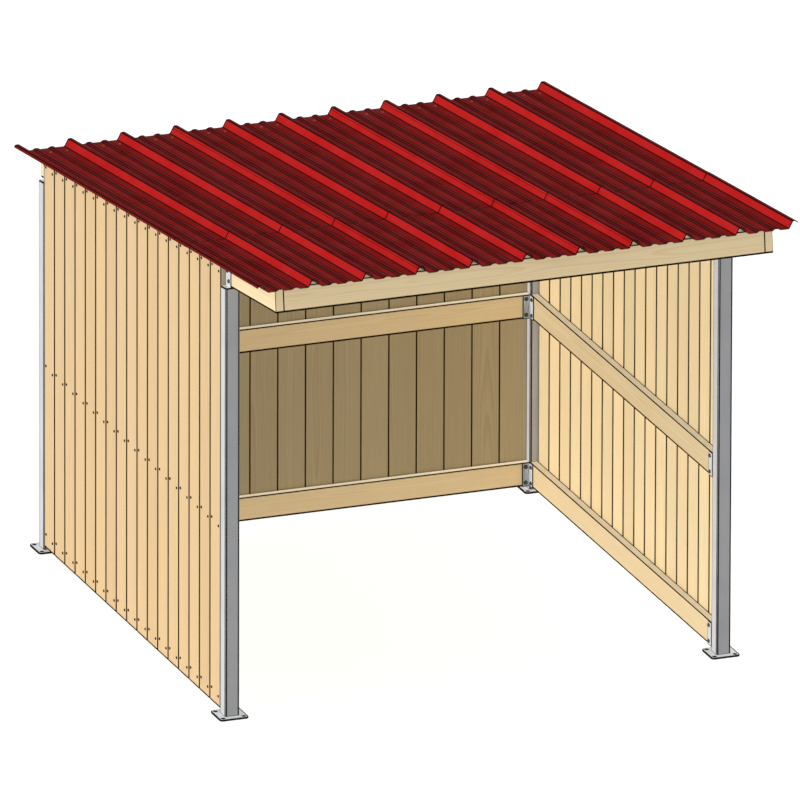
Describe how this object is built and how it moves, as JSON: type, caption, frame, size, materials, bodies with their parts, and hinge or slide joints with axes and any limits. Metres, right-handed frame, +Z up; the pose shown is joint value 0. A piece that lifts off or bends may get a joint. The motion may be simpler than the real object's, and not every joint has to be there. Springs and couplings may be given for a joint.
{
  "type": "field shelter",
  "caption": "Open-fronted field shelter: boarded timber walls on three sides, square steel posts with base plates, and a lean-to roof of ribbed red sheets.",
  "frame": {"origin": "on the ground, under the middle of the roof's outline", "axes": "+X to the right seen from the open front, +Y from the open front to the back wall, +Z up"},
  "size_m": [3.3754, 4.1385, 2.962],
  "materials": {
    "galvanised_steel": "hot-dip galvanised",
    "framing_timber": "planed softwood",
    "wall_boards": "planed softwood boards",
    "roof_sheet": "coil-coated red"
  },
  "bodies": {
    "root": {"front_left_post": "galvanised_steel", "front_right_post": "galvanised_steel", "rear_left_post": "galvanised_steel", "rear_right_post": "galvanised_steel", "front_left_base_plate": "galvanised_steel", "front_right_base_plate": "galvanised_steel", "rear_left_base_plate": "galvanised_steel", "rear_right_base_plate": "galvanised_steel", "front_left_head_bracket": "galvanised_steel", "front_right_head_bracket": "galvanised_steel", "rear_left_head_bracket": "galvanised_steel", "rear_right_head_bracket": "galvanised_steel", "front_left_rail_lugs": "galvanised_steel", "front_right_rail_lugs": "galvanised_steel", "rear_left_corner_lugs": "galvanised_steel", "rear_right_corner_lugs": "galvanised_steel", "left_lower_rail": "framing_timber", "left_upper_rail": "framing_timber", "right_lower_rail": "framing_timber", "right_upper_rail": "framing_timber", "back_lower_rail": "framing_timber", "back_upper_rail": "framing_timber", "back_top_rail": "framing_timber", "left_rafter": "framing_timber", "right_rafter": "framing_timber", "front_purlin": "framing_timber", "lap_purlin": "framing_timber", "middle_purlin": "framing_timber", "rear_purlin": "framing_timber", "left_wall": "wall_boards", "right_wall": "wall_boards", "back_wall": "wall_boards", "upper_roof_sheet_1": "roof_sheet", "upper_roof_sheet_2": "roof_sheet", "upper_roof_sheet_3": "roof_sheet", "upper_roof_sheet_4": "roof_sheet", "lower_roof_sheet_1": "roof_sheet", "lower_roof_sheet_2": "roof_sheet", "lower_roof_sheet_3": "roof_sheet", "lower_roof_sheet_4": "roof_sheet"}
  },
  "joints": []
}
